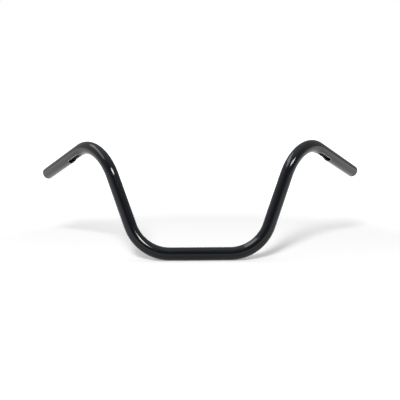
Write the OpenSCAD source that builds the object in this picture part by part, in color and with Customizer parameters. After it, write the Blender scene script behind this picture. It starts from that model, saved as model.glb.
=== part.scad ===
// Pullback handlebar for a motorbike, bent from one length of steel tube.
// Origin: middle of the straight clamp section, on the tube's axis.
// +X runs along the clamp section, +Y points back to the rider, +Z points up.

/* [Tube] */
// Outside diameter of the tube
tube_d = 25.4; // [22:0.1:32]
// Wall thickness of the tube
wall_t = 2.5; // [1.5:0.1:4]
// Chamfer on the outer edge of each sawn end
end_chamfer = 0.8; // [0.2:0.1:1.2]

/* [Bends] */
// Radius of every bend, measured to the tube's axis
bend_r = 81; // [60:1:110]
// Length of the straight clamp section between the two lower bends
clamp_length = 115; // [90:1:180]
// Angle of each lower bend, from the clamp section up to the riser
lower_bend_angle = 70.5; // [50:0.5:85]
// Length of each straight riser
riser_length = 104; // [60:1:200]
// Angle of each upper bend, from the riser out to the grip
upper_bend_angle = 90; // [70:0.5:105]
// How far each upper bend is turned back, out of the plane of the risers
pullback_turn = 54; // [20:1:75]
// Length of each straight grip section
grip_length = 170; // [170:1:240]
// How far the risers lean back to the rider, as the bar sits in its clamps
riser_lean = 12; // [0:1:30]

/* [Wiring slots] */
// Width of the slot under each grip
slot_w = 20; // [8:0.5:20]
// Length of the slot under each grip, end to end
slot_length = 58; // [24:1:64]
// Distance from the bar's end to the near end of the slot
slot_from_end = 116; // [100:1:120]
// Turn of the slot about the grip, from the inside of the upper bend to the front
slot_turn = 0; // [-30:1:30]

/* [Wire outlet] */
// Width of the outlet in the clamp section, where the wires leave the tube
outlet_w = 12; // [6:0.5:14]
// Length of the outlet along the bar, end to end
outlet_length = 30; // [16:1:40]
// Turn of the outlet about the bar, from straight down to the back
outlet_turn = 45; // [0:1:90]

/* [Hidden] */
tube_r = tube_d / 2;
bore_r = tube_r - wall_t;
// Cuts run this far past the face that they break through
overcut = 1;
// The tube's radius is this much less in the bends, where it was drawn round the former
draw_down = 0.04;
// Angle by which a bend runs into the straight at each of its ends
bend_overrun = 0.4;
$fn = 64;

// Slot with round ends through the wall on the +X side of a tube along Z
module wall_slot(width, length) {
    straight = length - width;
    rotate([0, 90, 0]) linear_extrude(height = tube_r + overcut) {
        square([straight, width], center = true);
        for (end = [-1, 1])
            translate([end * straight / 2, 0]) circle(d = width);
    }
}

// Bent rod that starts at the origin along +Z and turns to +X. It is drawn down a
// little from the straight rod's radius r, and both its ends run into the straights.
module bend(angle, r) {
    swept = angle + 2 * bend_overrun;
    translate([bend_r, 0, 0]) rotate([90, 0, 0]) rotate([0, 0, 180 - angle - bend_overrun])
        rotate_extrude(angle = swept) translate([bend_r, 0]) circle(r = r - draw_down);
}

// Moves its children from the start of such a bend to its end
module after_bend(angle) {
    translate([bend_r, 0, 0]) rotate([0, angle, 0]) translate([-bend_r, 0, 0]) children();
}

// Start of a lower bend: +Z runs out along the clamp section, +X points up
module at_lower_bend() {
    rotate(a = 180, v = [1, 0, 1]) translate([0, 0, clamp_length / 2]) children();
}

// Start of an upper bend: +Z runs up the riser, +X points to the inside of the bend
module at_upper_bend() {
    at_lower_bend() after_bend(lower_bend_angle)
        translate([0, 0, riser_length]) rotate([0, 0, 180 + pullback_turn]) children();
}

// Start of a grip: +Z runs out along it, +X points to the inside of the upper bend
module at_grip() {
    at_upper_bend() after_bend(upper_bend_angle) children();
}

// Both sides of the bar are drawn from one side
module both_sides() {
    for (side = [0, 1]) mirror([side, 0, 0]) children();
}

// The bar's whole path as a rod of radius r, with grips of the given length
module rod(r, grip) {
    rotate([0, 90, 0]) cylinder(h = clamp_length, r = r, center = true);
    both_sides() {
        at_lower_bend() {
            bend(lower_bend_angle, r);
            after_bend(lower_bend_angle) cylinder(h = riser_length, r = r);
        }
        at_upper_bend() bend(upper_bend_angle, r);
        at_grip() cylinder(h = grip, r = r);
    }
}

// One bent tube, open at both ends, with its two wiring slots and its wire outlet
module handlebar() {
    color([0.03, 0.03, 0.035]) rotate([-riser_lean, 0, 0]) difference() {
        union() {
            rod(tube_r, grip_length - end_chamfer);
            both_sides() at_grip() translate([0, 0, grip_length - end_chamfer])
                cylinder(h = end_chamfer, r1 = tube_r, r2 = tube_r - end_chamfer);
        }
        rod(bore_r, grip_length + overcut);
        both_sides() at_grip()
            translate([0, 0, grip_length - slot_from_end - slot_length / 2])
                rotate([0, 0, -slot_turn]) wall_slot(slot_w, slot_length);
        rotate([outlet_turn, 0, 0]) rotate([0, 90, 0]) wall_slot(outlet_w, outlet_length);
    }
}

handlebar();
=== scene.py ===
import math

import bpy
from mathutils import Euler, Matrix, Vector


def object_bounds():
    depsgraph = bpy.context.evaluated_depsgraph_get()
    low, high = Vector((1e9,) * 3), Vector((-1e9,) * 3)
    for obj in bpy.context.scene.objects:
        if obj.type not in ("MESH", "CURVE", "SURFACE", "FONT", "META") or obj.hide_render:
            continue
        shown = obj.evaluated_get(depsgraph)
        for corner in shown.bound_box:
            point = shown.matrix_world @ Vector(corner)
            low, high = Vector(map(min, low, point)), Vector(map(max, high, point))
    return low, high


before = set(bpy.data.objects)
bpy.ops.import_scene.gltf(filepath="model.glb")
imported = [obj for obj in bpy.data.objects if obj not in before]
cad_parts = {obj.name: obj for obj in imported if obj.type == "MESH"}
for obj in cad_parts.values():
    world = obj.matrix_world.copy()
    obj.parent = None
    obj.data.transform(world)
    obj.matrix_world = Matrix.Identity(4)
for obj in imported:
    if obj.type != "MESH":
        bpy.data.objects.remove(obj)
cad_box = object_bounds()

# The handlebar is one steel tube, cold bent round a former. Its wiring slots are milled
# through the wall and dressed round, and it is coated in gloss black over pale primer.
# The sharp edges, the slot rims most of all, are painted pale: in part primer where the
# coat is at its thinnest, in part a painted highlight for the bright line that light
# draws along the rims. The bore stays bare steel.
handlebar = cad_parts["handlebar"]
edge_round = 0.0016


class Socket:
    """One output of a shader node, so that sums on it can be written as Python."""

    def __init__(self, tree, link):
        self.tree = tree
        self.link = link

    def node(self, kind, inputs=None, output=0, **settings):
        """Adds a node, sets it up, fills its inputs and returns one of its outputs."""
        made = self.tree.nodes.new(kind)
        for name, value in settings.items():
            setattr(made, name, value)
        for name, value in (inputs or {}).items():
            if isinstance(value, Socket):
                self.tree.links.new(value.link, made.inputs[name])
            else:
                made.inputs[name].default_value = value
        return Socket(self.tree, made.outputs[output])

    def sum(self, operation, first, second):
        return self.node("ShaderNodeMath", {0: first, 1: second}, operation=operation)

    def spread(self, low, high, at_low, at_high):
        """The number at_low where this socket is low or less, and at_high past high."""
        limits = {"From Min": low, "From Max": high, "To Min": at_low, "To Max": at_high}
        return self.node("ShaderNodeMapRange", {"Value": self, **limits})

    def blend(self, low, high):
        """The colour low where this socket is 0, and the colour high where it is 1."""
        # Inputs 6 and 7 of a Mix node are its two colours, and output 2 is what it makes.
        colours = {"Factor": self, 6: low, 7: high}
        return self.node("ShaderNodeMix", colours, output=2, data_type="RGBA")

    def __add__(self, other):
        return self.sum("ADD", self, other)

    def __mul__(self, other):
        return self.sum("MULTIPLY", self, other)

    __radd__ = __add__
    __rmul__ = __mul__


def gloss_black_paint():
    """Deep black stoved enamel: a smooth gloss coat with a faint orange peel."""
    black = (0.0042, 0.0052, 0.0075, 1)
    # Pale edge colour: primer where the coat is at its thinnest, and in part a painted
    # highlight.
    primer_and_painted_highlight = (0.75, 0.75, 0.77, 1)
    steel = (0.16, 0.155, 0.15, 1)
    paint = bpy.data.materials.new("gloss_black_paint")
    paint.use_nodes = True
    tree = paint.node_tree
    shader = tree.nodes["Principled BSDF"]
    place = Socket(tree, tree.nodes.new("ShaderNodeTexCoord").outputs["Object"])
    peel = place.node("ShaderNodeTexNoise", {"Vector": place, "Scale": 420.0, "Detail": 2.0})
    haze = place.node("ShaderNodeTexNoise", {"Vector": place, "Scale": 38.0, "Detail": 3.0})
    rounded = place.node("ShaderNodeBevel", {"Radius": edge_round}, samples=16)
    flat = place.node("ShaderNodeNewGeometry", output="True Normal")
    facing = {0: rounded, 1: flat}
    level = place.node("ShaderNodeVectorMath", facing, output="Value", operation="DOT_PRODUCT")
    # The edges are painted pale where the rounded and the flat directions differ: in part
    # primer where the coat is at its thinnest on a sharp edge, in part a painted highlight.
    # The second factor leaves out most of the hair-fine steps where a bend begins.
    thin_coat_and_highlight = level.spread(0.85, 0.97, 1.0, 0.0) * level.spread(0.5, 0.65, 0.0, 1.0)
    open_sky = place.node(
        "ShaderNodeAmbientOcclusion", {"Distance": 0.03}, output="AO", samples=8, only_local=True
    )
    # The bore is bare, and it is known by how little of the open sky it sees.
    bare = open_sky.spread(0.25, 0.6, 1.0, 0.0)
    # Edges painted pale (thinnest coat and painted highlight), the bore bare steel, all else
    # black.
    colour = thin_coat_and_highlight.blend(bare.blend(black, steel), primer_and_painted_highlight)
    bump = place.node(
        "ShaderNodeBump",
        {"Height": peel, "Strength": 0.05, "Distance": 0.0003, "Normal": rounded},
    )
    tree.links.new(bump.link, shader.inputs["Normal"])
    tree.links.new(colour.link, shader.inputs["Base Color"])
    tree.links.new((haze * 0.05 + bare * 0.3 + 0.10).link, shader.inputs["Roughness"])
    shader.inputs["IOR"].default_value = 1.5
    return paint


for slot in handlebar.material_slots:
    slot.material = gloss_black_paint()

# The bar stands on its clamp section on a plain white floor that runs on out of sight.
# The camera sees the floor as white, but for the bar's shadow on it. In the gloss the
# floor shows a painted glow instead of its lit face: painted shade makes it grey under
# the bar, it is paler further out, and painted light makes it brightest behind it.
floor_z = cad_box[0][2]
bpy.ops.mesh.primitive_plane_add(size=24, location=(0, 0, floor_z))
floor = bpy.context.object
floor.name = "studio_floor"


def studio_white():
    white = bpy.data.materials.new("studio_white")
    white.use_nodes = True
    tree = white.node_tree
    tree.nodes.clear()
    out = tree.nodes.new("ShaderNodeOutputMaterial")
    rays = tree.nodes.new("ShaderNodeLightPath")
    camera_ray = Socket(tree, rays.outputs["Is Camera Ray"])
    glossy_ray = Socket(tree, rays.outputs["Is Glossy Ray"])
    place = Socket(tree, tree.nodes.new("ShaderNodeTexCoord").outputs["Object"])
    behind = place.node("ShaderNodeSeparateXYZ", {"Vector": place}, output="Y")
    away = place.node("ShaderNodeVectorMath", {0: place}, output="Value", operation="LENGTH")
    seen = away.spread(0.5, 1.3, 0.24, 1.0) * camera_ray
    # Painted shade under the bar and painted light behind it, seen only in the gloss.
    painted_gloss_floor_level = away.spread(0.0, 0.35, 0.38, 0.84) + behind.spread(0.0, 0.3, 0.0, 0.4)
    lit = place.node("ShaderNodeBsdfDiffuse", {"Color": (0.8, 0.8, 0.8, 1)})
    glow = place.node("ShaderNodeEmission", {"Strength": seen})
    plain = place.node("ShaderNodeAddShader", {0: lit, 1: glow})
    painted_gloss_floor = place.node("ShaderNodeEmission", {"Strength": painted_gloss_floor_level})
    both = place.node("ShaderNodeMixShader", {0: glossy_ray, 1: plain, 2: painted_gloss_floor})
    tree.links.new(both.link, out.inputs["Surface"])
    return white


floor.data.materials.append(studio_white())

# The studio is white to the camera. To the paint and the floor it is dark on the
# camera's side above a grey horizon, and grey at the sides, behind and overhead.
world = bpy.data.worlds.new("studio")
bpy.context.scene.world = world
world.use_nodes = True
tree = world.node_tree
background = tree.nodes["Background"]
camera_ray = Socket(tree, tree.nodes.new("ShaderNodeLightPath").outputs["Is Camera Ray"])
towards = tree.nodes.new("ShaderNodeSeparateXYZ")
tree.links.new(tree.nodes.new("ShaderNodeTexCoord").outputs["Generated"], towards.inputs[0])
right_ward = Socket(tree, towards.outputs["X"])
back_ward = Socket(tree, towards.outputs["Y"])
up_ward = Socket(tree, towards.outputs["Z"])
walls = back_ward.spread(-0.75, 0.0, 0.03, 0.36)
left_wall = right_ward.spread(-0.9, 0.0, 0.22, 0.0)
overhead = up_ward.spread(0.75, 0.97, 0.0, 0.25)
horizon = up_ward.spread(0.05, 0.2, 0.45, 0.0) * back_ward.spread(-0.7, -0.4, 1.0, 0.0)
strength = camera_ray.node(
    "ShaderNodeMix",
    {"Factor": camera_ray, "A": walls + left_wall + overhead + horizon, "B": 1.0},
)
tree.links.new(strength.link, background.inputs["Strength"])
background.inputs["Color"].default_value = (1, 1, 1, 1)


# The lamps face a point half way up the bar.
lamp_target = Vector((0, 0, 0.1))


def softbox(name, azimuth, height, reach, width, depth, power):
    """A lamp at angles in degrees. Azimuth 0 is the camera's side, and 90 is +X."""
    a, h = math.radians(azimuth), math.radians(height)
    aim = Vector((math.sin(a) * math.cos(h), -math.cos(a) * math.cos(h), math.sin(h)))
    data = bpy.data.lights.new(name, "AREA")
    data.shape = "RECTANGLE"
    data.size = width
    data.size_y = depth
    data.energy = power
    lamp = bpy.data.objects.new(name, data)
    bpy.context.scene.collection.objects.link(lamp)
    lamp.location = aim * reach + lamp_target
    lamp.rotation_mode = "QUATERNION"
    lamp.rotation_quaternion = aim.to_track_quat("Z", "Y")
    return lamp


# Two softboxes only draw the streaks on the gloss, and a third lamp only lights the
# floor, so that the bar has one soft shadow.
streak_right = softbox(
    "streak_right", azimuth=30, height=39.5, reach=5.0, width=1.9, depth=0.9, power=118
)
streak_right.visible_diffuse = False
streak_left = softbox(
    "streak_left", azimuth=-84, height=61, reach=5.0, width=5.4, depth=1.8, power=85
)
streak_left.visible_diffuse = False
shadow_lamp = softbox(
    "shadow_lamp", azimuth=-10, height=39, reach=4.0, width=0.8, depth=1.3, power=160
)
shadow_lamp.visible_glossy = False

# The camera stands 1.5 m in front of the bar, a little above it.
camera_distance = 1.5
camera_rise = 0.10356
camera_down = math.radians(8)
camera_roll = math.radians(-0.45)
camera_turn = math.radians(0.30)
camera = bpy.data.cameras.new("camera")
camera.lens = 70.13
camera.sensor_width = 36
camera_object = bpy.data.objects.new("camera", camera)
bpy.context.scene.collection.objects.link(camera_object)
turn = Euler((math.pi / 2 - camera_down, 0, camera_turn)).to_matrix()
turn = turn @ Matrix.Rotation(camera_roll, 3, "Z")
camera_object.matrix_world = (
    Matrix.Translation(turn @ Vector((0, camera_rise, camera_distance))) @ turn.to_4x4()
)
bpy.context.scene.camera = camera_object
bpy.context.scene.view_settings.view_transform = "Standard"
